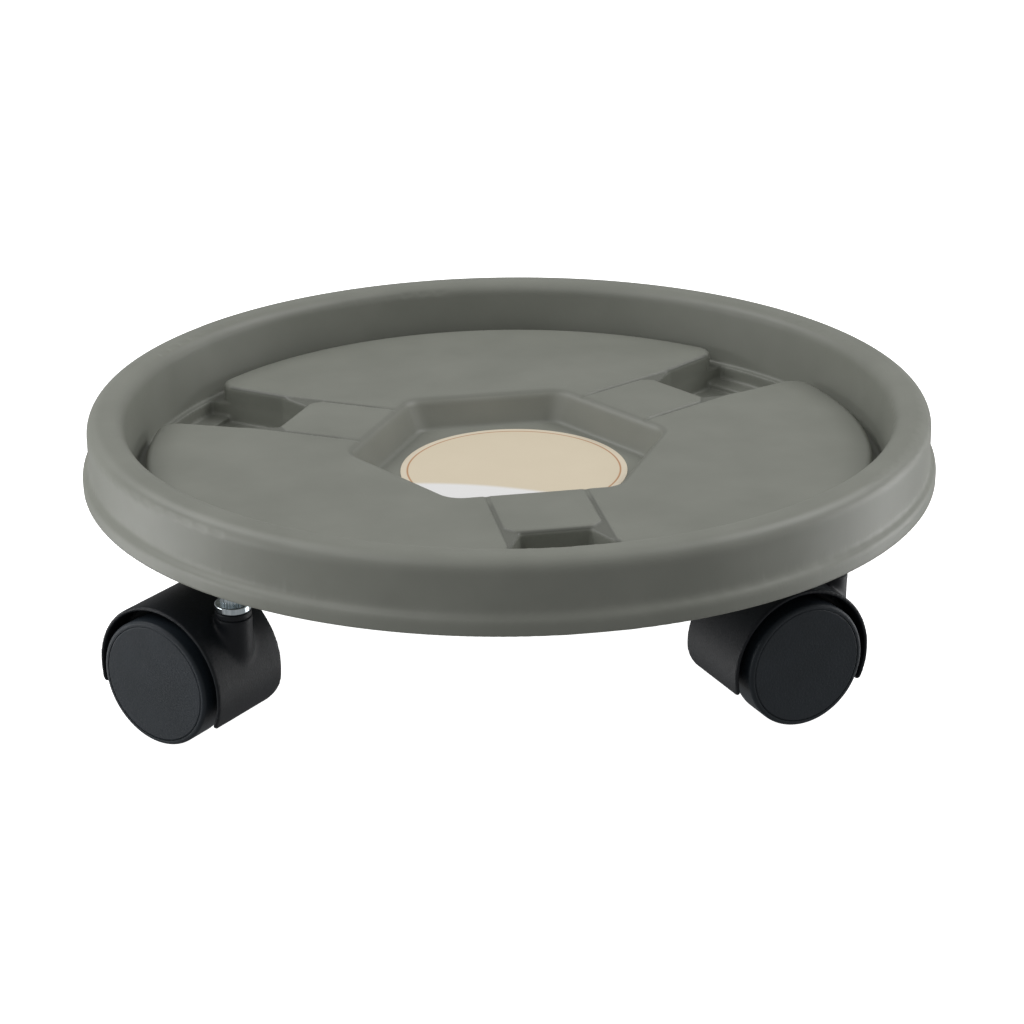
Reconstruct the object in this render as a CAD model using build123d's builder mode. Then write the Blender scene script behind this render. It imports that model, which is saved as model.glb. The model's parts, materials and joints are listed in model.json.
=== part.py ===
from build123d import *
import os
from math import cos, pi, radians, sin, sqrt

# Round plant pot caddy: a moulded plastic tray on three hooded twin-wheel swivel casters.
# Millimetres, +Z up. The origin is on the floor, under the centre of the tray.

os.makedirs("parts", exist_ok=True)

# ---- Driving dimensions -------------------------------------------------------------------
sectors = 3                       # casters, and the wells between them
skin = 2.5                        # moulded wall thickness of the tray
clear = 0.3                       # gap between pieces that move past each other
running_fit = 0.05                # radial clearance of a shaft in its bore
pick_margin = 0.1                 # slack used when corners are picked by their place

tray_radius = 150.0               # outside of the bead round the skirt
bead_level = 75.0                 # height of the bead's middle above the floor
bead_height = 5.4
bead_reach = 2.3                  # how far the bead stands out of the skirt
bead_slope = 1.0                  # how much higher the bead starts at the skirt
bead_top_rounding = 1.5
bead_foot_rounding = 2.3
bead_blend = 1.8                  # hollow fillet where the skirt runs into the bead
crest_level = bead_level + 21.3
deck_level = bead_level + 4.2
moat_level = bead_level - 3.0
recess_level = bead_level - 7.2
well_level = bead_level - 10.1

crest_outer_radius = tray_radius - 2.5
crest_inner_radius = 135.0
wall_foot_radius = 132.4          # inside of the rim where it meets the moat
crest_rounding = 4.9
deck_radius = 128.1
deck_edge_rounding = 1.8
deck_corner_rounding = 7.0

recess_sides = 6
recess_top_radius = 57.6          # hexagonal recess, corner radius at the deck
recess_floor_radius = 51.4
recess_corner_rounding = 8.0
recess_edge_rounding = 4.5
recess_foot_rounding = 1.5

well_start = 84.0                 # radial place of a well's inner end
well_end = 130.4
well_end_half_width = 11.7
well_shoulder = (96.7, 17.7)      # radial place and half width where the end chamfer stops
well_mouth = (123.0, 21.0)        # radial place and half width near the moat
well_draft = 4.0
well_shelf_start = 122.0          # a shallow step inside each well, next to the moat
well_shelf_drop = 5.0
well_foot_rounding = 2.0          # outside edges under a well

groove_offset = 17.0              # half the spacing of the two grooves of a channel
groove_width = 2.1
groove_depth = 0.8
groove_pad_start = 79.5           # radial place where a groove widens towards the well

label_radius = 40.6
label_thickness = 0.3
label_shift = (1.6, -0.3)         # the label is stuck on slightly off centre

caster_circle = 118.0             # radius of the circle of caster stems
caster_headings = (168.0, 135.6, 195.9)   # swivel direction of each caster at rest, degrees
first_caster = 88.5               # direction of the first stem, degrees
first_well = 30.0                 # direction of the first well, degrees

wheel_radius = 22.2
wheel_inner = 7.2                 # distance of a wheel's inner face from the caster's middle
wheel_outer = 18.8
tyre_thickness = 3.2
trail = 20.3                      # horizontal distance from stem to axle
tread_rounding = 1.2
wheel_web_inner = 11.0            # the wheel's own web, measured from the caster's middle
wheel_web_outer = 13.5
hub_radius = 5.5
hub_outer = 14.4
cover_inner = 17.1
cover_radius = 20.5
cover_rounding = 0.6
spigot_thickness = 1.4
spigot_length = 2.0
axle_radius = 2.5
axle_half_length = 16.4
axle_chamfer = 0.4
ring_start = 14.7
ring_thickness = 0.8
ring_width = 2.0

hood_radius = 26.5
hood_skin = 1.5
hood_half_width = 16.5
hood_front_angle = 207.0          # where the hood ends on the stem side, from the trailing side
hood_back_angle = -16.0
hood_left_corner_rounding = 1.6
hood_right_corner_rounding = 6.0
hood_lip_rounding = 0.6
web_half_width = 6.0
web_foot = 7.0                    # how far the web reaches below the axle's middle
boss_radius = 6.3
boss_top = 45.6
boss_taper_level = 34.0
boss_foot_level = 12.0
boss_foot_radius = 1.8

collar_radius = 6.1
collar_bottom = 47.8
collar_top = 50.3
collar_rounding = 0.5
washer_rounding = 0.4
shank_radius = 3.0                # part of the stem that the housing turns on
shank_bottom = 26.0
neck_radius = 4.1
neck_top = 58.0
stem_radius = 4.0
stem_top = 74.5
stem_end_rounding = 1.6
spline_count = 24
spline_depth = 0.5
spline_turn = 45.0                # the grooves are V-shaped
grip_bottom = 64.0
grip_top = 70.0
grip_groove_radius = 3.5
grip_slot = 1.2
clip_level = 30.8
clip_thickness = 0.9
clip_groove_radius = 2.4
clip_radius = 3.8

socket_mouth = 58.3
socket_radius = 6.0
socket_bore_radius = 4.7
socket_flange_radius = 8.5
socket_flange = 1.2
socket_lead_in = 0.5
boss_outer_radius = 8.5

rib_thickness = 2.0
rib_angle = 14.0                  # ribs lie this far each side of a caster's direction

# ---- Places worked out from the driving dimensions ----------------------------------------
sector_angle = 360 / sectors
skirt_level = bead_level - bead_height / 2
bead_top = bead_level + bead_height / 2
moat_underside = moat_level - skin
deck_underside = deck_level - skin
axle_level = wheel_radius
hood_inner_radius = hood_radius - hood_skin
hood_web_radius = hood_inner_radius + hood_skin / 2
clip_floor = clip_level - clip_thickness / 2 - clear
clip_ceiling = clip_level + clip_thickness / 2 + clear
socket_top = deck_underside


def caster_seat(number):
    """Floor plane of one caster: origin under its stem, x towards its axle."""
    angle = radians(first_caster + sector_angle * (number - 1))
    heading = radians(caster_headings[number - 1])
    return Plane(
        origin=(caster_circle * cos(angle), caster_circle * sin(angle), 0),
        x_dir=(cos(heading), sin(heading), 0),
        z_dir=(0, 0, 1),
    )


def caster_side(number):
    """Upright plane through the middle of a caster, with its origin on the axle's middle."""
    seat = caster_seat(number)
    axle_middle = seat.from_local_coords((trail, 0, axle_level))
    return Plane(origin=axle_middle, x_dir=seat.x_dir, z_dir=-seat.y_dir)


def axle_plane(number, side):
    """Upright plane along the axle: x points outboard on the given side, y points up."""
    seat = caster_seat(number)
    axle_middle = seat.from_local_coords((trail, 0, axle_level))
    outboard = seat.y_dir * side
    return Plane(origin=axle_middle, x_dir=outboard, z_dir=outboard.cross(Vector(0, 0, 1)))


def axle_axis(number):
    """Line of the axle of one caster."""
    return Axis(axle_plane(number, 1).origin, caster_seat(number).y_dir)


def stem_plane(number):
    """Upright plane through a stem: x points towards the axle, y points up."""
    seat = caster_seat(number)
    return Plane(origin=seat.origin, x_dir=seat.x_dir, z_dir=-seat.y_dir)


def stem_axis(number):
    """Upright line of one stem."""
    return Axis(caster_seat(number).origin, (0, 0, 1))


def well_outline(end_radius, grow):
    """Draw one well from above, radially along x, cut off at end_radius and grown by grow."""
    beyond = tray_radius
    slope = (well_mouth[1] - well_shoulder[1]) / (well_mouth[0] - well_shoulder[0])
    beyond_half_width = well_mouth[1] + slope * (beyond - well_mouth[0])
    upper = [(well_start, well_end_half_width), well_shoulder, (beyond, beyond_half_width)]
    lower = [(x, -y) for x, y in reversed(upper)]
    with BuildSketch(mode=Mode.PRIVATE) as outline:
        with BuildLine():
            Polyline(*upper, *lower, close=True)
        make_face()
        if grow:
            offset(amount=grow, kind=Kind.INTERSECTION)
        Circle(end_radius, mode=Mode.INTERSECT)
    return outline.sketch


def rounded_hexagon(corner_radius):
    """Draw the recess from above; corner_radius is where its corners would be if they were sharp."""
    with BuildSketch(mode=Mode.PRIVATE) as hexagon:
        RegularPolygon(corner_radius, recess_sides)
        fillet(hexagon.vertices(), radius=recess_corner_rounding)
    return hexagon.sketch


def channel_grooves():
    """Draw both grooves of one channel from above, radially along x."""
    inner = groove_offset - groove_width / 2
    outer = groove_offset + groove_width / 2
    start = recess_top_radius * cos(pi / recess_sides)
    reach = (outer - well_end_half_width) / (well_shoulder[1] - well_end_half_width)
    shoulder = well_start + reach * (well_shoulder[0] - well_start)
    with BuildSketch(mode=Mode.PRIVATE) as grooves:
        with BuildLine():
            Polyline(
                (start, inner),
                (groove_pad_start, inner),
                (well_start, well_end_half_width),
                (shoulder, outer),
                (start, outer),
                close=True,
            )
        make_face()
        mirror(about=Plane.XZ)
    return grooves.sketch


def beyond_recess(edge):
    """True for an edge that lies outside the hexagonal recess."""
    middle = edge.center()
    return sqrt(middle.X**2 + middle.Y**2) > recess_top_radius


well_angles = dict(radius=0, start_angle=first_well, count=sectors)

# ---- Tray ---------------------------------------------------------------------------------
with BuildSketch(Plane.XY.offset(deck_level)) as deck_outline:
    Circle(deck_radius)
    with PolarLocations(**well_angles):
        add(well_outline(tray_radius, 0), mode=Mode.SUBTRACT)
    sector_corners = deck_outline.vertices().filter_by(
        lambda corner: sqrt(corner.X**2 + corner.Y**2) > deck_radius - pick_margin
    )
    fillet(sector_corners, radius=deck_corner_rounding)

with BuildPart() as tray:
    # Rim, skirt with its bead, and the floor of the moat, as one section turned about Z.
    with BuildSketch(Plane.XZ) as rim_section:
        with BuildLine():
            Polyline(
                (deck_radius - 2 * skin, moat_level),
                (wall_foot_radius, moat_level),
                (crest_inner_radius, crest_level),
                (crest_outer_radius, crest_level),
                (tray_radius - bead_reach, bead_top + bead_slope),
                (tray_radius, bead_top),
                (tray_radius, skirt_level),
                (tray_radius - bead_reach - skin, skirt_level),
                (crest_outer_radius - skin, crest_level - skin),
                (crest_inner_radius + skin, crest_level - skin),
                (wall_foot_radius + skin, moat_underside),
                (deck_radius - 2 * skin, moat_underside),
                close=True,
            )
        make_face()
        fillet(rim_section.vertices().group_by(Axis.Y)[-1], radius=crest_rounding)
        bead_root = (tray_radius - bead_reach, bead_top + bead_slope)
        fillet(rim_section.vertices().sort_by_distance(bead_root)[0], radius=bead_blend)
        bead_corners = rim_section.vertices().group_by(Axis.X)[-1].sort_by(Axis.Y)
        fillet(bead_corners[-1], radius=bead_top_rounding)
        fillet(bead_corners[0], radius=bead_foot_rounding)
    revolve(axis=Axis.Z)
    # Raised deck, open to the wells, and hollow underneath.
    with BuildSketch(Plane.XY.offset(deck_level)):
        add(deck_outline.sketch)
    extrude(amount=moat_underside - deck_level)
    with BuildSketch(Plane.XY.offset(moat_underside)):
        add(deck_outline.sketch)
        offset(amount=-skin, mode=Mode.REPLACE)
    extrude(amount=deck_underside - moat_underside, mode=Mode.SUBTRACT)
    # Ribs under the deck, each side of every caster.
    with BuildSketch(Plane.XY.offset(moat_underside)):
        for turn in (-rib_angle, rib_angle):
            with PolarLocations(0, sectors, start_angle=first_caster + turn):
                with Locations(((recess_floor_radius + deck_radius) / 2 - skin, 0)):
                    Rectangle(deck_radius - recess_floor_radius, rib_thickness)
    extrude(until=Until.NEXT)
    # Bosses that hold the casters.
    with BuildSketch(Plane.XY.offset(socket_mouth + socket_flange)):
        with PolarLocations(caster_circle, sectors, start_angle=first_caster):
            Circle(boss_outer_radius)
    extrude(amount=deck_underside - socket_mouth - socket_flange)
    with BuildSketch(Plane.XY.offset(socket_mouth + socket_flange)):
        with PolarLocations(caster_circle, sectors, start_angle=first_caster):
            Circle(socket_radius)
    extrude(amount=socket_top - socket_mouth - socket_flange, mode=Mode.SUBTRACT)
    # Hexagonal recess: an outer cup, hollowed from above.
    with BuildSketch(Plane.XY.offset(deck_underside)):
        add(rounded_hexagon(recess_top_radius + skin))
    with BuildSketch(Plane.XY.offset(recess_level - skin)):
        add(rounded_hexagon(recess_floor_radius + skin))
    loft()
    with BuildSketch(Plane.XY.offset(deck_level)):
        add(rounded_hexagon(recess_top_radius))
    with BuildSketch(Plane.XY.offset(recess_level)):
        add(rounded_hexagon(recess_floor_radius))
    loft(mode=Mode.SUBTRACT)
    # Wells: a cup under each gap of the deck, and the floor beside it under the rounded corners.
    with BuildSketch(Plane.XY.offset(moat_level)):
        with PolarLocations(**well_angles):
            add(well_outline(wall_foot_radius, skin))
    extrude(amount=-well_shelf_drop - skin)
    with BuildSketch(Plane.XY.offset(moat_level)):
        with PolarLocations(**well_angles):
            add(well_outline(well_shelf_start + skin, skin))
    extrude(amount=well_level - skin - moat_level)
    with BuildSketch(Plane.XY.offset(moat_level)):
        with PolarLocations(**well_angles):
            add(well_outline(wall_foot_radius, deck_corner_rounding + skin))
    extrude(amount=-skin)
    with BuildSketch(Plane.XY.offset(moat_level)):
        with PolarLocations(**well_angles):
            add(well_outline(well_end, 0))
    extrude(amount=well_level - moat_level, taper=well_draft, mode=Mode.SUBTRACT)
    # A shallow shelf left standing inside each well, next to the moat.
    with BuildSketch(Plane.XY.offset(moat_level - well_shelf_drop)):
        with PolarLocations(**well_angles):
            add(well_outline(well_end + skin / 2, skin / 2))
        Circle(well_shelf_start, mode=Mode.SUBTRACT)
    extrude(amount=-skin)
    # Soft edges under the wells, and round the deck and the recess.
    well_feet = tray.edges().filter_by_position(Axis.Z, well_level - skin, well_level - skin)
    fillet(well_feet, radius=well_foot_rounding)
    deck_edges = tray.edges().filter_by_position(Axis.Z, deck_level, deck_level)
    fillet(deck_edges.filter_by(beyond_recess), radius=deck_edge_rounding)
    deck_edges = tray.edges().filter_by_position(Axis.Z, deck_level, deck_level)
    fillet(deck_edges.filter_by(beyond_recess, reverse=True), radius=recess_edge_rounding)
    fillet(tray.edges().filter_by_position(Axis.Z, recess_level, recess_level), radius=recess_foot_rounding)
    # Channels: two grooves from the recess to each well, widening into a pad at the well's corners.
    with BuildSketch(Plane.XY.offset(deck_level)):
        with PolarLocations(**well_angles):
            add(channel_grooves())
    extrude(amount=-groove_depth, mode=Mode.SUBTRACT)
tray.part.label = "tray"
export_step(tray.part, "parts/tray.step")

# ---- Label --------------------------------------------------------------------------------
with BuildPart() as label:
    with BuildSketch(Plane.XY.offset(recess_level)):
        with Locations(label_shift):
            Circle(label_radius)
    extrude(amount=label_thickness)
label.part.label = "label"
export_step(label.part, "parts/label.step")


# ---- Casters ------------------------------------------------------------------------------
def make_socket(number):
    """Plastic sleeve pressed into a boss of the tray, with a flange under it."""
    seat = caster_seat(number)
    with BuildPart() as socket:
        with BuildSketch(seat.offset(socket_mouth)):
            Circle(socket_flange_radius)
        extrude(amount=socket_flange)
        with BuildSketch(seat.offset(socket_mouth)):
            Circle(socket_radius)
        extrude(amount=socket_top - socket_mouth)
        with BuildSketch(seat.offset(socket_mouth)):
            Circle(socket_bore_radius)
        extrude(amount=stem_top - socket_mouth, mode=Mode.SUBTRACT)
        mouth_edges = socket.faces().sort_by(Axis.Z)[0].edges()
        chamfer(mouth_edges.sort_by(SortBy.RADIUS)[0], length=socket_lead_in)
    socket.part.label = f"socket_{number}"
    export_step(socket.part, f"parts/socket_{number}.step")


def make_stem(number):
    """Zinc stem: turned shank, collar, splined neck and a grooved upper part with a domed end."""
    seat = caster_seat(number)
    with BuildPart() as stem:
        with BuildSketch(stem_plane(number)) as half:
            with BuildLine():
                Polyline(
                    (0, shank_bottom),
                    (shank_radius, shank_bottom),
                    (shank_radius, clip_level - clip_thickness / 2),
                    (clip_groove_radius, clip_level - clip_thickness / 2),
                    (clip_groove_radius, clip_level + clip_thickness / 2),
                    (shank_radius, clip_level + clip_thickness / 2),
                    (shank_radius, collar_bottom),
                    (collar_radius, collar_bottom),
                    (collar_radius, collar_top),
                    (neck_radius, collar_top),
                    (neck_radius, neck_top),
                    (stem_radius, neck_top),
                    (stem_radius, grip_bottom),
                    (grip_groove_radius, grip_bottom),
                    (grip_groove_radius, grip_top),
                    (stem_radius, grip_top),
                    (stem_radius, stem_top - stem_end_rounding),
                    (stem_radius - stem_end_rounding, stem_top),
                    (0, stem_top),
                    close=True,
                )
            make_face()
            collar_corners = half.vertices().filter_by_position(Axis.X, collar_radius, collar_radius)
            fillet(collar_corners, radius=collar_rounding)
        revolve(axis=stem_axis(number))
        with BuildSketch(seat.offset(collar_top)):
            with PolarLocations(neck_radius, spline_count):
                Rectangle(spline_depth, spline_depth, rotation=spline_turn)
        extrude(amount=neck_top - collar_top, mode=Mode.SUBTRACT)
    stem.part.label = f"stem_{number}"
    export_step(stem.part, f"parts/stem_{number}.step")


def make_grip_ring(number):
    """Split spring sleeve round the stem's upper groove; it grips the socket."""
    seat = caster_seat(number)
    with BuildPart() as grip_ring:
        with BuildSketch(seat.offset(grip_bottom)):
            Circle(socket_bore_radius)
            Circle(grip_groove_radius, mode=Mode.SUBTRACT)
            with Locations((socket_bore_radius, 0)):
                Rectangle(2 * socket_bore_radius, grip_slot, mode=Mode.SUBTRACT)
        extrude(amount=grip_top - grip_bottom)
    grip_ring.part.label = f"grip_ring_{number}"
    export_step(grip_ring.part, f"parts/grip_ring_{number}.step")


def make_stem_clip(number):
    """Spring clip in the shank's groove; it keeps the housing on the stem."""
    seat = caster_seat(number)
    with BuildPart() as stem_clip:
        with BuildSketch(seat.offset(clip_level - clip_thickness / 2)):
            Circle(clip_radius)
            Circle(clip_groove_radius, mode=Mode.SUBTRACT)
            with Locations((-clip_radius, 0)):
                Rectangle(2 * clip_radius, clip_groove_radius, mode=Mode.SUBTRACT)
        extrude(amount=clip_thickness)
    stem_clip.part.label = f"stem_clip_{number}"
    export_step(stem_clip.part, f"parts/stem_clip_{number}.step")


def make_thrust_washer(number):
    """Plastic washer on top of the housing's boss; the collar bears on it."""
    seat = caster_seat(number)
    with BuildPart() as thrust_washer:
        with BuildSketch(seat.offset(boss_top)):
            Circle(collar_radius)
            Circle(shank_radius + running_fit, mode=Mode.SUBTRACT)
        extrude(amount=collar_bottom - 2 * running_fit - boss_top)
        round_edges = thrust_washer.edges().filter_by(GeomType.CIRCLE)
        fillet(round_edges.sort_by(SortBy.RADIUS)[-2:], radius=washer_rounding)
    thrust_washer.part.label = f"thrust_washer_{number}"
    export_step(thrust_washer.part, f"parts/thrust_washer_{number}.step")


def make_hood(number):
    """Caster housing: a curved hood over both wheels, a middle web and the boss for the stem."""
    seat = caster_seat(number)
    side = caster_side(number)
    front, back = radians(hood_front_angle), radians(hood_back_angle)
    with BuildPart() as hood:
        # Curved hood with rounded corners and lips.
        with BuildSketch(side):
            with BuildLine():
                CenterArc((0, 0), hood_radius, hood_back_angle, hood_front_angle - hood_back_angle)
                CenterArc((0, 0), hood_inner_radius, hood_back_angle, hood_front_angle - hood_back_angle)
                for end in (front, back):
                    Line((hood_radius * cos(end), hood_radius * sin(end)),
                         (hood_inner_radius * cos(end), hood_inner_radius * sin(end)))
            make_face()
        extrude(amount=hood_half_width, both=True)
        across = Axis(seat.origin, seat.y_dir)
        corners = hood.edges().filter_by(GeomType.LINE).filter_by(across, reverse=True).group_by(across)
        fillet(corners[-1], radius=hood_left_corner_rounding)
        fillet(corners[0], radius=hood_right_corner_rounding)
        fillet(hood.edges(), radius=hood_lip_rounding)
        # Web between the wheels, down to the axle.
        with BuildSketch(side):
            with BuildLine():
                CenterArc((0, 0), hood_web_radius, hood_back_angle,
                          hood_front_angle - hood_back_angle)
                Line((hood_web_radius * cos(front), hood_web_radius * sin(front)), (0, -web_foot))
                Line((0, -web_foot), (hood_web_radius * cos(back), hood_web_radius * sin(back)))
            make_face()
        extrude(amount=web_half_width, both=True)
        # Boss for the stem, fading into the front of the hood.
        with BuildSketch(stem_plane(number)):
            Polygon(
                (0, boss_top),
                (boss_radius, boss_top),
                (boss_radius, boss_taper_level),
                (boss_foot_radius, boss_foot_level),
                (0, boss_foot_level),
                align=None,
            )
        revolve(axis=stem_axis(number))
        # Bore for the shank, with a wider ring for the clip.
        with BuildSketch(stem_plane(number)):
            Polygon(
                (0, boss_top),
                (shank_radius + running_fit, boss_top),
                (shank_radius + running_fit, clip_ceiling),
                (clip_radius + clear, clip_ceiling),
                (clip_radius + clear, clip_floor),
                (shank_radius + running_fit, clip_floor),
                (shank_radius + running_fit, shank_bottom - clear),
                (0, shank_bottom - clear),
                align=None,
            )
        revolve(axis=stem_axis(number), mode=Mode.SUBTRACT)
        # Hole for the axle.
        with BuildSketch(side):
            Circle(axle_radius)
        extrude(amount=web_half_width, both=True, mode=Mode.SUBTRACT)
    hood.part.label = f"hood_{number}"
    export_step(hood.part, f"parts/hood_{number}.step")


def make_axle(number):
    """Steel axle pressed through the web, with chamfered ends."""
    with BuildPart() as axle:
        with BuildSketch(caster_side(number)):
            Circle(axle_radius)
        extrude(amount=axle_half_length, both=True)
        chamfer(axle.edges().filter_by(GeomType.CIRCLE), length=axle_chamfer)
    axle.part.label = f"axle_{number}"
    export_step(axle.part, f"parts/axle_{number}.step")


def make_axle_rings(number):
    """Push-on rings on both ends of the axle; they keep the wheels on."""
    with BuildPart() as axle_rings:
        for side in (1, -1):
            with BuildSketch(axle_plane(number, side)):
                with Locations((ring_start, axle_radius)):
                    Rectangle(ring_thickness, ring_width, align=Align.MIN)
            revolve(axis=axle_axis(number))
    axle_rings.part.label = f"axle_rings_{number}"
    export_step(axle_rings.part, f"parts/axle_rings_{number}.step")


def make_wheel(number, side, name):
    """Moulded wheel: tyre, web and hub in one piece, with a seat for its cover."""
    bore = axle_radius + running_fit
    tyre_inner = wheel_radius - tyre_thickness
    with BuildPart() as wheel:
        with BuildSketch(axle_plane(number, side)) as half:
            with BuildLine():
                Polyline(
                    (web_half_width + clear, bore),
                    (hub_outer, bore),
                    (hub_outer, hub_radius),
                    (wheel_web_outer, hub_radius),
                    (wheel_web_outer, tyre_inner),
                    (cover_inner, tyre_inner),
                    (cover_inner, cover_radius),
                    (wheel_outer, cover_radius),
                    (wheel_outer, wheel_radius),
                    (wheel_inner, wheel_radius),
                    (wheel_inner, tyre_inner),
                    (wheel_web_inner, tyre_inner),
                    (wheel_web_inner, hub_radius),
                    (web_half_width + clear, hub_radius),
                    close=True,
                )
            make_face()
            fillet(half.vertices().group_by(Axis.Y)[-1], radius=tread_rounding)
        revolve(axis=axle_axis(number))
    wheel.part.label = f"wheel_{number}_{name}"
    export_step(wheel.part, f"parts/wheel_{number}_{name}.step")


def make_wheel_cover(number, side, name):
    """Smooth cover that closes a wheel's outer face, with a spigot that grips inside the tyre."""
    tyre_inner = wheel_radius - tyre_thickness
    with BuildPart() as cover:
        with BuildSketch(axle_plane(number, side)) as half:
            with BuildLine():
                Polyline(
                    (cover_inner, 0),
                    (cover_inner, tyre_inner - spigot_thickness),
                    (cover_inner - spigot_length, tyre_inner - spigot_thickness),
                    (cover_inner - spigot_length, tyre_inner),
                    (cover_inner, tyre_inner),
                    (cover_inner, cover_radius),
                    (wheel_outer, cover_radius),
                    (wheel_outer, 0),
                    close=True,
                )
            make_face()
            rim_corner = half.vertices().filter_by_position(Axis.X, wheel_outer, wheel_outer)
            fillet(rim_corner.sort_by(Axis.Y)[-1], radius=cover_rounding)
        revolve(axis=axle_axis(number))
    cover.part.label = f"wheel_cover_{number}_{name}"
    export_step(cover.part, f"parts/wheel_cover_{number}_{name}.step")


for caster in range(1, sectors + 1):
    make_socket(caster)
    make_stem(caster)
    make_grip_ring(caster)
    make_stem_clip(caster)
    make_thrust_washer(caster)
    make_hood(caster)
    make_axle(caster)
    make_axle_rings(caster)
    for side, name in ((1, "left"), (-1, "right")):
        make_wheel(caster, side, name)
        make_wheel_cover(caster, side, name)
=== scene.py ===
import json
from math import atan2, cos, hypot, pi, radians, sin, tau

import bmesh
import bpy
from mathutils import Matrix, Vector


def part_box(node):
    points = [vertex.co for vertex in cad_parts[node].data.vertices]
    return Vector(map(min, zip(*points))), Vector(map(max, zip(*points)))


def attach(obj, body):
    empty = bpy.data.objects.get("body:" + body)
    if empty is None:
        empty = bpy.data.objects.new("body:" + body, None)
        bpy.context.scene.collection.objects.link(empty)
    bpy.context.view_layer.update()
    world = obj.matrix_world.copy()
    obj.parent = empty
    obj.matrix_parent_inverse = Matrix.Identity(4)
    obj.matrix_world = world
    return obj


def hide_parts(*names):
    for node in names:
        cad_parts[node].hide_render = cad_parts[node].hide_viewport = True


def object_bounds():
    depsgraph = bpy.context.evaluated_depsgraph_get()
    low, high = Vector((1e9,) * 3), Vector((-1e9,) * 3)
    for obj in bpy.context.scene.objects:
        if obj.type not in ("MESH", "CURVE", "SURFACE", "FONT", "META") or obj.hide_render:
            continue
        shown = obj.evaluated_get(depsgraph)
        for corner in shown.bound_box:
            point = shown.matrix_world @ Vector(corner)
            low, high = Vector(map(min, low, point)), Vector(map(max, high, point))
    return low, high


# Round plant pot caddy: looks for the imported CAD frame. Metres, +Z up, origin on the floor under the tray.

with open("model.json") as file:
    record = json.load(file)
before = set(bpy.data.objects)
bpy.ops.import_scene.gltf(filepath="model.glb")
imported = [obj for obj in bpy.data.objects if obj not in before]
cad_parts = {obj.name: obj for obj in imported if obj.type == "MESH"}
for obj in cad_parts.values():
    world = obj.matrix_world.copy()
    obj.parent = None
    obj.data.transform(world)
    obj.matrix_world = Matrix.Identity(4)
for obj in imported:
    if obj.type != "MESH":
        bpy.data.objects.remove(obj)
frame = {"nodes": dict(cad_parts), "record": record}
cad_low, cad_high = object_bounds()

nodes = frame["nodes"]
scene = bpy.context.scene

# ---- Camera, lights and floor ---------------------------------------------------------------
camera_azimuth = radians(10.2)      # turned from the front towards -X
camera_pitch = radians(22.33)
camera_roll = radians(-0.54)
camera_distance = 0.8471
camera_lens = 82.64
camera_sensor = 36.0
aim_below_crest = 0.0451
aim_to_the_right = 0.0008

light_distance = 1.6
softbox_width = 0.8
softbox_height = 0.6
ambient_light = 0.32
backdrop_light = 1.0                # how bright the world looks to the camera itself

floor_radius = 6.0
floor_corners = 64
floor_glow = 1.1

# ---- Softened copies of the tray and the hoods ----------------------------------------------
tray_voxel = 0.0006
tray_smoothing = 1
tray_faces_kept = 0.45
same_point = 1e-6
rim_inner_radius = 0.1255           # facets outside this radius are rounded out
widest_round_step = radians(4.5)    # a longer step belongs to a straight wall
finest_round_step = radians(1.0)
rounding_passes = 2
smoothing_factor = 0.5

hood_voxel = 0.0005
hood_smoothing = 8
hood_faces_kept = 1.0
foot_smoothing_radius = 0.1455      # the bead's foot, outside this radius and above the bead
foot_smoothing_heights = (0.0762, 0.0815)
foot_smoothing_passes = 10
boss_blend_radius = 0.0125          # around the stem's axis
boss_blend_heights = (0.024, 0.0435)
boss_blend_passes = 40

# ---- Painted shade darkening the channels' grooves ------------------------------------------
deck = next(mount for mount in frame["record"]["mounts"] if mount["name"] == "deck")
deck_level = deck["pos_m"][2]
painted_shade_top = deck_level - 0.0003
painted_shade_top_softness = 0.00015
painted_shade_bottom = deck_level - 0.0012
painted_shade_bottom_softness = 0.0002
painted_shade_outer_radius = 0.1215
painted_shade_outer_softness = 0.0008
painted_shade_inner_radius = 0.06            # nearer the middle, the painted shade is lighter
painted_shade_inner_softness = 0.002
painted_shade_share_inside = 0.35

# ---- Label ----------------------------------------------------------------------------------
label_corners = 128
label_edge_rounding = 0.00012
label_edge_steps = 3
label_ring_radius = 0.0381
label_ring_width = 0.0006
label_print_softness = 0.00012
label_patch_radius = 0.120          # the white area lies inside a circle in front of the label
label_patch_centre = (-0.0591, -0.1252)
label_patch_softness = 0.0012

# Sockets of Blender's Mix node that hold colours
mix_first_colour = 6
mix_second_colour = 7
mix_colour_result = 2


# ---- Node helpers ---------------------------------------------------------------------------
def new_material(name):
    """Make an empty material and return it with its nodes, links and output."""
    material = bpy.data.materials.new(name)
    material.use_nodes = True
    tree = material.node_tree
    tree.nodes.clear()
    output = tree.nodes.new("ShaderNodeOutputMaterial")
    return material, tree.nodes, tree.links, output


def noise(node_set, link_set, vector, scale, detail=2.0, roughness=0.5):
    """Add a 3D noise texture fed by a vector and return its value socket."""
    texture = node_set.new("ShaderNodeTexNoise")
    texture.inputs["Scale"].default_value = scale
    texture.inputs["Detail"].default_value = detail
    texture.inputs["Roughness"].default_value = roughness
    link_set.new(vector, texture.inputs["Vector"])
    return texture.outputs["Fac"]


def ramp(node_set, link_set, value, low, high, low_at=0.0, high_at=1.0):
    """Turn a value into a colour between low and high."""
    colours = node_set.new("ShaderNodeValToRGB")
    colours.color_ramp.elements[0].position = low_at
    colours.color_ramp.elements[0].color = (*low, 1.0)
    colours.color_ramp.elements[1].position = high_at
    colours.color_ramp.elements[1].color = (*high, 1.0)
    link_set.new(value, colours.inputs["Fac"])
    return colours.outputs["Color"]


def spread(node_set, link_set, value, low, high):
    """Map a value from 0..1 to low..high."""
    mapping = node_set.new("ShaderNodeMapRange")
    mapping.inputs["To Min"].default_value = low
    mapping.inputs["To Max"].default_value = high
    link_set.new(value, mapping.inputs["Value"])
    return mapping.outputs["Result"]


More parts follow.
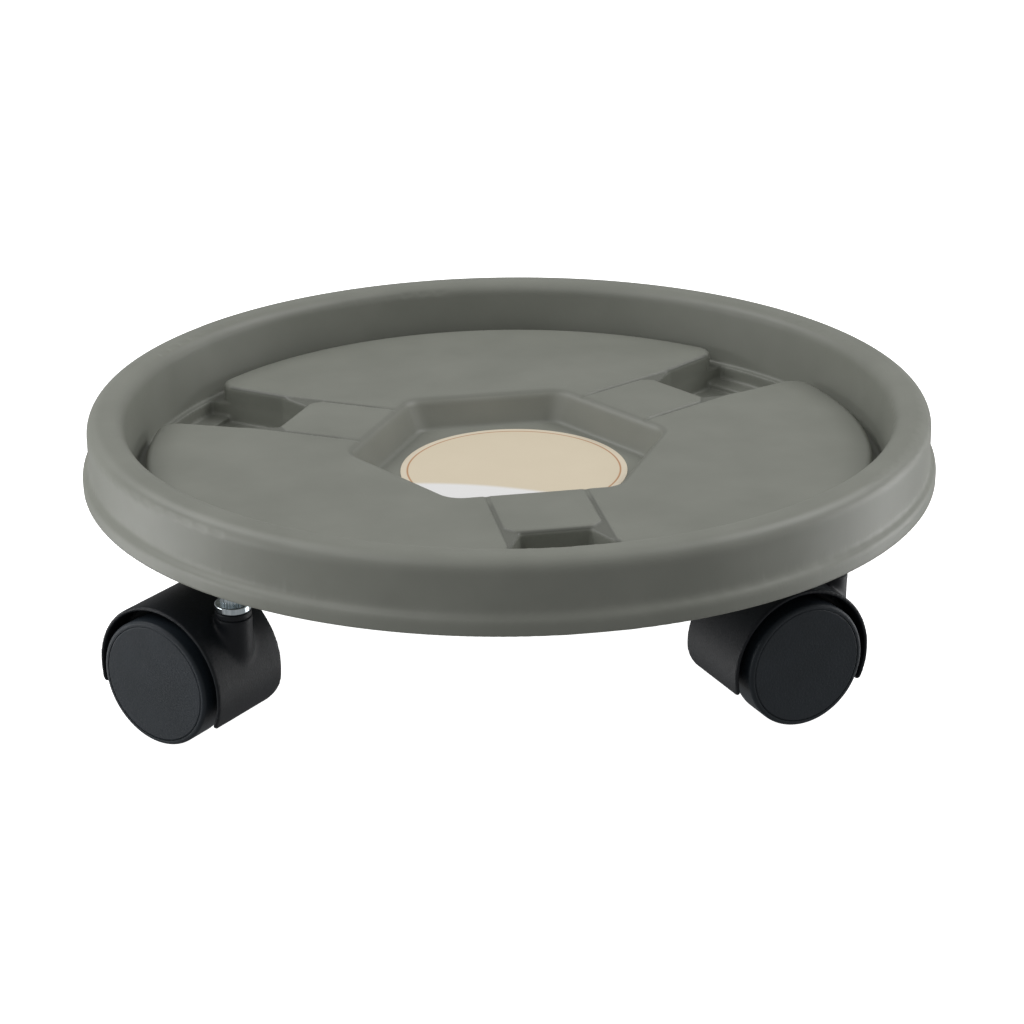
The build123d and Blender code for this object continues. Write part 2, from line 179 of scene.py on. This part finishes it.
def bump(node_set, link_set, height, distance, strength, base=None):
    """Add a bump node and return its normal socket."""
    bumps = node_set.new("ShaderNodeBump")
    bumps.inputs["Strength"].default_value = strength
    bumps.inputs["Distance"].default_value = distance
    link_set.new(height, bumps.inputs["Height"])
    if base is not None:
        link_set.new(base, bumps.inputs["Normal"])
    return bumps.outputs["Normal"]


def stretched_coordinates(node_set, link_set, scale):
    """Object coordinates, scaled along each axis."""
    coordinates = node_set.new("ShaderNodeTexCoord")
    mapping = node_set.new("ShaderNodeMapping")
    mapping.inputs["Scale"].default_value = scale
    link_set.new(coordinates.outputs["Object"], mapping.inputs["Vector"])
    return mapping.outputs["Vector"]


def inside(node_set, link_set, value, limit, softness):
    """1 where a value is below a limit, fading to 0 over a soft edge."""
    step = node_set.new("ShaderNodeMapRange")
    step.inputs["From Min"].default_value = limit - softness
    step.inputs["From Max"].default_value = limit + softness
    step.inputs["To Min"].default_value = 1.0
    step.inputs["To Max"].default_value = 0.0
    link_set.new(value, step.inputs["Value"])
    return step.outputs["Result"]


def distance_from(node_set, link_set, centre):
    """Distance in the XY plane from a point in object coordinates."""
    coordinates = node_set.new("ShaderNodeTexCoord")
    shifted = node_set.new("ShaderNodeMapping")
    shifted.inputs["Location"].default_value = (-centre[0], -centre[1], 0.0)
    shifted.inputs["Scale"].default_value = (1.0, 1.0, 0.0)
    link_set.new(coordinates.outputs["Object"], shifted.inputs["Vector"])
    length = node_set.new("ShaderNodeVectorMath")
    length.operation = "LENGTH"
    link_set.new(shifted.outputs["Vector"], length.inputs[0])
    return length.outputs["Value"]


def mixed(node_set, link_set, share, first, second):
    """Mix two colours; each is a socket or a plain colour."""
    mix = node_set.new("ShaderNodeMix")
    mix.data_type = "RGBA"
    link_set.new(share, mix.inputs["Factor"])
    for place, colour in ((mix_first_colour, first), (mix_second_colour, second)):
        if isinstance(colour, tuple):
            mix.inputs[place].default_value = (*colour, 1.0)
        else:
            link_set.new(colour, mix.inputs[place])
    return mix.outputs[mix_colour_result]


def product(node_set, link_set, first, second):
    """Multiply two values."""
    times = node_set.new("ShaderNodeMath")
    times.operation = "MULTIPLY"
    link_set.new(first, times.inputs[0])
    link_set.new(second, times.inputs[1])
    return times.outputs["Value"]


# ---- Materials ------------------------------------------------------------------------------
def painted_groove_shade(node_set, link_set):
    """Share of painted shade, in a thin layer just below the deck and inside the moat, where the grooves
    lie.
    """
    coordinates = node_set.new("ShaderNodeTexCoord")
    parts = node_set.new("ShaderNodeSeparateXYZ")
    link_set.new(coordinates.outputs["Object"], parts.inputs["Vector"])
    height = parts.outputs["Z"]
    # Painted shade: the grooves below the deck level are darkened as if by occlusion.
    below_deck = inside(node_set, link_set, height, painted_shade_top, painted_shade_top_softness)
    deep = inside(node_set, link_set, height, painted_shade_bottom, painted_shade_bottom_softness)
    shallow = spread(node_set, link_set, deep, 1.0, 0.0)
    from_axis = distance_from(node_set, link_set, (0.0, 0.0))
    on_deck = inside(node_set, link_set, from_axis, painted_shade_outer_radius, painted_shade_outer_softness)
    near_middle = inside(node_set, link_set, from_axis, painted_shade_inner_radius, painted_shade_inner_softness)
    share = spread(node_set, link_set, near_middle, 1.0, painted_shade_share_inside)
    layer = product(node_set, link_set, below_deck, shallow)
    return product(node_set, link_set, product(node_set, link_set, layer, on_deck), share)


def tray_plastic():
    """Satin grey moulded plastic: soft waves, a little mottling, a fine grain and painted shade in the
    grooves.
    """
    material, ns, ls, output = new_material("tray_plastic_look")
    shader = ns.new("ShaderNodeBsdfPrincipled")
    even = stretched_coordinates(ns, ls, (1.0, 1.0, 1.0))
    mottle = noise(ns, ls, even, 38.0, detail=3.0)
    colour = ramp(ns, ls, mottle, (0.196, 0.203, 0.176), (0.222, 0.229, 0.200), 0.3, 0.7)
    # painted shade: the grooves below the deck are mixed towards a darker grey
    groove_shaded_colour = mixed(ns, ls, painted_groove_shade(ns, ls), colour, (0.135, 0.140, 0.121))
    ls.new(groove_shaded_colour, shader.inputs["Base Color"])
    patches = noise(ns, ls, even, 21.0, detail=2.0)
    ls.new(spread(ns, ls, patches, 0.44, 0.54), shader.inputs["Roughness"])
    grain = noise(ns, ls, even, 2600.0, detail=2.0)
    waves = noise(ns, ls, even, 46.0, detail=1.0)
    soft = bump(ns, ls, waves, 0.0006, strength=0.35)
    ls.new(bump(ns, ls, grain, 0.00003, strength=0.35, base=soft), shader.inputs["Normal"])
    ls.new(shader.outputs["BSDF"], output.inputs["Surface"])
    return material


def black_plastic(name, grain_scale, dark, light, rough_low, rough_high):
    """Black moulded plastic with a spark-eroded grain."""
    material, ns, ls, output = new_material(name)
    shader = ns.new("ShaderNodeBsdfPrincipled")
    even = stretched_coordinates(ns, ls, (1.0, 1.0, 1.0))
    mottle = noise(ns, ls, even, 90.0, detail=4.0)
    ls.new(ramp(ns, ls, mottle, dark, light, 0.3, 0.7), shader.inputs["Base Color"])
    shader.inputs["Specular IOR Level"].default_value = 0.3
    grain = noise(ns, ls, even, grain_scale, detail=3.0, roughness=0.6)
    ls.new(spread(ns, ls, grain, rough_low, rough_high), shader.inputs["Roughness"])
    ls.new(bump(ns, ls, grain, 0.00012, strength=0.6), shader.inputs["Normal"])
    ls.new(shader.outputs["BSDF"], output.inputs["Surface"])
    return material


def metal(name, dark, light, rough_low, rough_high):
    """Plated steel with fine streaks and a few duller patches."""
    material, ns, ls, output = new_material(name)
    shader = ns.new("ShaderNodeBsdfPrincipled")
    shader.inputs["Metallic"].default_value = 1.0
    streaked = stretched_coordinates(ns, ls, (1.0, 1.0, 0.12))
    streaks = noise(ns, ls, streaked, 700.0, detail=3.0)
    ls.new(ramp(ns, ls, streaks, dark, light, 0.25, 0.75), shader.inputs["Base Color"])
    patches = noise(ns, ls, streaked, 240.0, detail=2.0)
    ls.new(spread(ns, ls, patches, rough_low, rough_high), shader.inputs["Roughness"])
    ls.new(bump(ns, ls, streaks, 0.00006, strength=0.5), shader.inputs["Normal"])
    ls.new(shader.outputs["BSDF"], output.inputs["Surface"])
    return material


def plain_label():
    """Beige paper with a thin brown ring inside its edge and a white area at the front."""
    material, ns, ls, output = new_material("label_look")
    shader = ns.new("ShaderNodeBsdfPrincipled")
    even = stretched_coordinates(ns, ls, (1.0, 1.0, 1.0))
    mottle = noise(ns, ls, even, 60.0, detail=3.0)
    paper = ramp(ns, ls, mottle, (0.700, 0.612, 0.462), (0.735, 0.645, 0.492))
    from_centre = distance_from(ns, ls, (0.0, 0.0))
    ring_outside = label_ring_radius + label_ring_width / 2
    ring_inside = label_ring_radius - label_ring_width / 2
    in_ring = inside(ns, ls, from_centre, ring_outside, label_print_softness)
    in_middle = inside(ns, ls, from_centre, ring_inside, label_print_softness)
    bordered = mixed(ns, ls, in_ring, (0.735, 0.65, 0.51), (0.50, 0.27, 0.14))
    beige = mixed(ns, ls, in_middle, bordered, paper)
    from_patch = distance_from(ns, ls, label_patch_centre)
    in_patch = inside(ns, ls, from_patch, label_patch_radius, label_patch_softness)
    ls.new(mixed(ns, ls, in_patch, beige, (0.84, 0.835, 0.83)), shader.inputs["Base Color"])
    fibres = noise(ns, ls, even, 1800.0, detail=2.0)
    ls.new(spread(ns, ls, fibres, 0.45, 0.6), shader.inputs["Roughness"])
    ls.new(bump(ns, ls, fibres, 0.00002, strength=0.3), shader.inputs["Normal"])
    ls.new(shader.outputs["BSDF"], output.inputs["Surface"])
    return material


looks = {
    "tray_plastic": tray_plastic(),
    "label_paper": plain_label(),
    "black_plastic": black_plastic(
        "black_plastic_look", 1500.0, (0.0045, 0.0060, 0.0085), (0.0065, 0.0085, 0.0120), 0.42, 0.6),
    "wheel_plastic": black_plastic(
        "wheel_plastic_look", 1300.0, (0.0105, 0.0155, 0.0205), (0.0145, 0.0200, 0.0265), 0.45, 0.62),
    "nylon": black_plastic("nylon_look", 900.0, (0.035, 0.035, 0.036), (0.05, 0.05, 0.05), 0.4, 0.5),
    "zinc": metal("zinc_look", (0.48, 0.56, 0.60), (0.86, 0.92, 0.95), 0.12, 0.26),
    "spring_steel": metal("spring_steel_look", (0.28, 0.29, 0.31), (0.46, 0.47, 0.50), 0.25, 0.4),
}
for subpart in frame["record"]["subparts"]:
    node = nodes[subpart["node"]]
    node.data.materials.clear()
    node.data.materials.append(looks[subpart["material_slot"]])


# ---- Softened mouldings ---------------------------------------------------------------------
def round_out(mesh):
    """Split the long facets around the rim, and put the new points on the circles they stand for."""
    shape = bmesh.new()
    shape.from_mesh(mesh)
    bmesh.ops.remove_doubles(shape, verts=shape.verts, dist=same_point)
    for _ in range(rounding_passes):
        for edge in list(shape.edges):
            first, second = (vertex.co.copy() for vertex in edge.verts)
            radius_one = hypot(first.x, first.y)
            radius_two = hypot(second.x, second.y)
            if min(radius_one, radius_two) < rim_inner_radius:
                continue
            angle = atan2(first.y, first.x)
            turn = (atan2(second.y, second.x) - angle + pi) % tau - pi
            if not finest_round_step < abs(turn) < widest_round_step:
                continue
            _, added = bmesh.utils.edge_split(edge, edge.verts[0], 0.5)
            radius = (radius_one + radius_two) / 2
            added.co.x = radius * cos(angle + turn / 2)
            added.co.y = radius * sin(angle + turn / 2)
        bmesh.ops.triangulate(shape, faces=shape.faces)
    shape.to_mesh(mesh)
    shape.free()


def smooth_where(mesh, chosen, passes):
    """Smooth the vertices that a test chooses, a number of times."""
    shape = bmesh.new()
    shape.from_mesh(mesh)
    vertices = [vertex for vertex in shape.verts if chosen(vertex.co)]
    for _ in range(passes):
        bmesh.ops.smooth_vert(
            shape, verts=vertices, factor=smoothing_factor,
            use_axis_x=True, use_axis_y=True, use_axis_z=True)
    shape.to_mesh(mesh)
    shape.free()


def smooth_bead_foot(mesh):
    """Let the skirt run softly into the bead around its lower edge."""
    low_end, high_end = foot_smoothing_heights
    smooth_where(
        mesh,
        lambda place: low_end < place.z < high_end and hypot(place.x, place.y) > foot_smoothing_radius,
        foot_smoothing_passes,
    )


def smooth_boss(axis):
    """Make a step that lets the foot of a hood's stem boss run softly into the hood."""
    low_end, high_end = boss_blend_heights

    def near_boss(place):
        across = hypot(place.x - axis.x, place.y - axis.y)
        return across < boss_blend_radius and low_end < place.z < high_end

    return lambda mesh: smooth_where(mesh, near_boss, boss_blend_passes)


def softened(node_name, body, slot, voxel, smoothing, faces_kept, prepare=None, finish=None):
    """Stand a copy of a CAD node in for it, with its edges rounded over as a mould leaves them."""
    node = nodes[node_name]
    piece = bpy.data.objects.new(node_name + "_moulding", node.data.copy())
    if prepare is not None:
        prepare(piece.data)
    piece.matrix_world = node.matrix_world
    scene.collection.objects.link(piece)
    remesh = piece.modifiers.new("remesh", "REMESH")
    remesh.mode = "VOXEL"
    remesh.voxel_size = voxel
    smooth = piece.modifiers.new("smooth", "SMOOTH")
    smooth.factor = smoothing_factor
    smooth.iterations = smoothing
    fewer = piece.modifiers.new("fewer", "DECIMATE")
    fewer.ratio = faces_kept
    settle = piece.modifiers.new("settle", "SMOOTH")
    settle.factor = smoothing_factor
    settle.iterations = 1
    depsgraph = bpy.context.evaluated_depsgraph_get()
    mesh = bpy.data.meshes.new_from_object(piece.evaluated_get(depsgraph))
    piece.modifiers.clear()
    piece.data = mesh
    if finish is not None:
        finish(mesh)
    mesh.shade_smooth()
    mesh.materials.clear()
    mesh.materials.append(looks[slot])
    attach(piece, body)
    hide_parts(node_name)


softened(
    "tray", "tray", "tray_plastic", tray_voxel, tray_smoothing, tray_faces_kept,
    prepare=round_out, finish=smooth_bead_foot)
for number in (1, 2, 3):
    stem_low, stem_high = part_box(f"stem_{number}")
    softened(
        f"hood_{number}", f"caster_{number}", "black_plastic", hood_voxel, hood_smoothing,
        hood_faces_kept, finish=smooth_boss((stem_low + stem_high) / 2))


# ---- Label ----------------------------------------------------------------------------------
def paper_label():
    """Round label with a softly rounded upper edge."""
    low_corner, high_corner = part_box("label")
    radius = (high_corner.x - low_corner.x) / 2
    thickness = high_corner.z - low_corner.z
    rings = [(radius, 0.0)]
    for step in range(label_edge_steps + 1):
        turn = radians(90.0 * step / label_edge_steps)
        inward = label_edge_rounding * (1 - cos(turn))
        drop = label_edge_rounding * (1 - sin(turn))
        rings.append((radius - inward, thickness - drop))
    shape = bmesh.new()
    loops = []
    for ring_radius, height in rings:
        angles = [tau * corner / label_corners for corner in range(label_corners)]
        loops.append([shape.verts.new((ring_radius * cos(a), ring_radius * sin(a), height)) for a in angles])
    for lower, upper in zip(loops, loops[1:]):
        for corner in range(label_corners):
            after = (corner + 1) % label_corners
            shape.faces.new((lower[corner], lower[after], upper[after], upper[corner]))
    shape.faces.new(loops[-1])
    shape.faces.new(list(reversed(loops[0])))
    mesh = bpy.data.meshes.new("paper_label")
    shape.to_mesh(mesh)
    shape.free()
    mesh.materials.append(looks["label_paper"])
    piece = bpy.data.objects.new("paper_label", mesh)
    centre = (low_corner + high_corner) / 2
    piece.location = (centre.x, centre.y, low_corner.z)
    scene.collection.objects.link(piece)
    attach(piece, "tray")
    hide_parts("label")


paper_label()


# ---- Floor ----------------------------------------------------------------------------------
def pale_floor():
    """Pale studio floor, bright enough to stay plain under the object."""
    mesh = bpy.data.meshes.new("floor")
    shape = bmesh.new()
    bmesh.ops.create_circle(shape, cap_ends=True, radius=floor_radius, segments=floor_corners)
    shape.to_mesh(mesh)
    shape.free()
    floor = bpy.data.objects.new("floor", mesh)
    scene.collection.objects.link(floor)
    material, ns, ls, output = new_material("floor_look")
    shader = ns.new("ShaderNodeBsdfPrincipled")
    shader.inputs["Base Color"].default_value = (0.8, 0.8, 0.8, 1.0)
    shader.inputs["Roughness"].default_value = 0.9
    shader.inputs["Emission Color"].default_value = (1.0, 1.0, 1.0, 1.0)
    shader.inputs["Emission Strength"].default_value = floor_glow
    ls.new(shader.outputs["BSDF"], output.inputs["Surface"])
    mesh.materials.append(material)
    floor.visible_diffuse = False
    floor.visible_glossy = False
    floor.visible_shadow = False
    return floor


pale_floor()


# ---- Lights and camera ----------------------------------------------------------------------
def soft_light(name, place, target, power):
    """Rectangular softbox at a place, turned to its target."""
    data = bpy.data.lights.new(name, "AREA")
    data.shape = "RECTANGLE"
    data.size = softbox_width
    data.size_y = softbox_height
    data.energy = power
    light = bpy.data.objects.new(name, data)
    light.location = place
    light.rotation_euler = (Vector(place) - Vector(target)).to_track_quat("Z", "Y").to_euler()
    light.visible_camera = False
    scene.collection.objects.link(light)


to_camera = Vector((-sin(camera_azimuth), -cos(camera_azimuth), 0.0))
to_right = Vector((cos(camera_azimuth), -sin(camera_azimuth), 0.0))
middle = Vector((0.0, 0.0, cad_high.z))


def around(right, near, up):
    """A place given from the tray's crest level: to the camera's right, towards the camera, and up."""
    return middle + to_right * right + to_camera * near + Vector((0.0, 0.0, up))


def on_sphere(bearing, height):
    """A place at the lights' distance; bearings are measured from the camera's side, to its right."""
    flat = light_distance * cos(height)
    return around(flat * sin(bearing), flat * cos(bearing), light_distance * sin(height))


softboxes = (
    # name, bearing and height in degrees, power in watts
    ("left_high", -105.0, 45.0, 8.8),
    ("left_level", -80.0, 0.0, 7.6),
    ("left_low", -105.0, -22.0, 4.3),
    ("left_front_high", -50.0, 45.0, 4.3),
    ("right_high", 105.0, 45.0, 10.7),
    ("right_level", 105.0, 0.0, 7.8),
    ("right_low", 105.0, -22.0, 3.7),
)
for name, bearing, height, power in softboxes:
    soft_light(name, on_sphere(radians(bearing), radians(height)), middle, power)

world = bpy.data.worlds.new("world")
world.use_nodes = True
scene.world = world
background = world.node_tree.nodes["Background"]
background.inputs["Color"].default_value = (1.0, 1.0, 1.0, 1.0)
world_nodes = world.node_tree.nodes
world_links = world.node_tree.links
rays = world_nodes.new("ShaderNodeLightPath")
strength = spread(world_nodes, world_links, rays.outputs["Is Camera Ray"], ambient_light, backdrop_light)
world_links.new(strength, background.inputs["Strength"])

camera_data = bpy.data.cameras.new("camera")
camera_data.lens = camera_lens
camera_data.sensor_width = camera_sensor
camera = bpy.data.objects.new("camera", camera_data)
scene.collection.objects.link(camera)
aim = around(aim_to_the_right, 0.0, -aim_below_crest)
backwards = to_camera * cos(camera_pitch) + Vector((0.0, 0.0, sin(camera_pitch)))
camera.location = aim + backwards * camera_distance
level = backwards.to_track_quat("Z", "Y").to_matrix().to_4x4()
camera.matrix_world = (
    Matrix.Translation(camera.location) @ level @ Matrix.Rotation(camera_roll, 4, "Z")
)
scene.camera = camera
scene.view_settings.view_transform = "Standard"
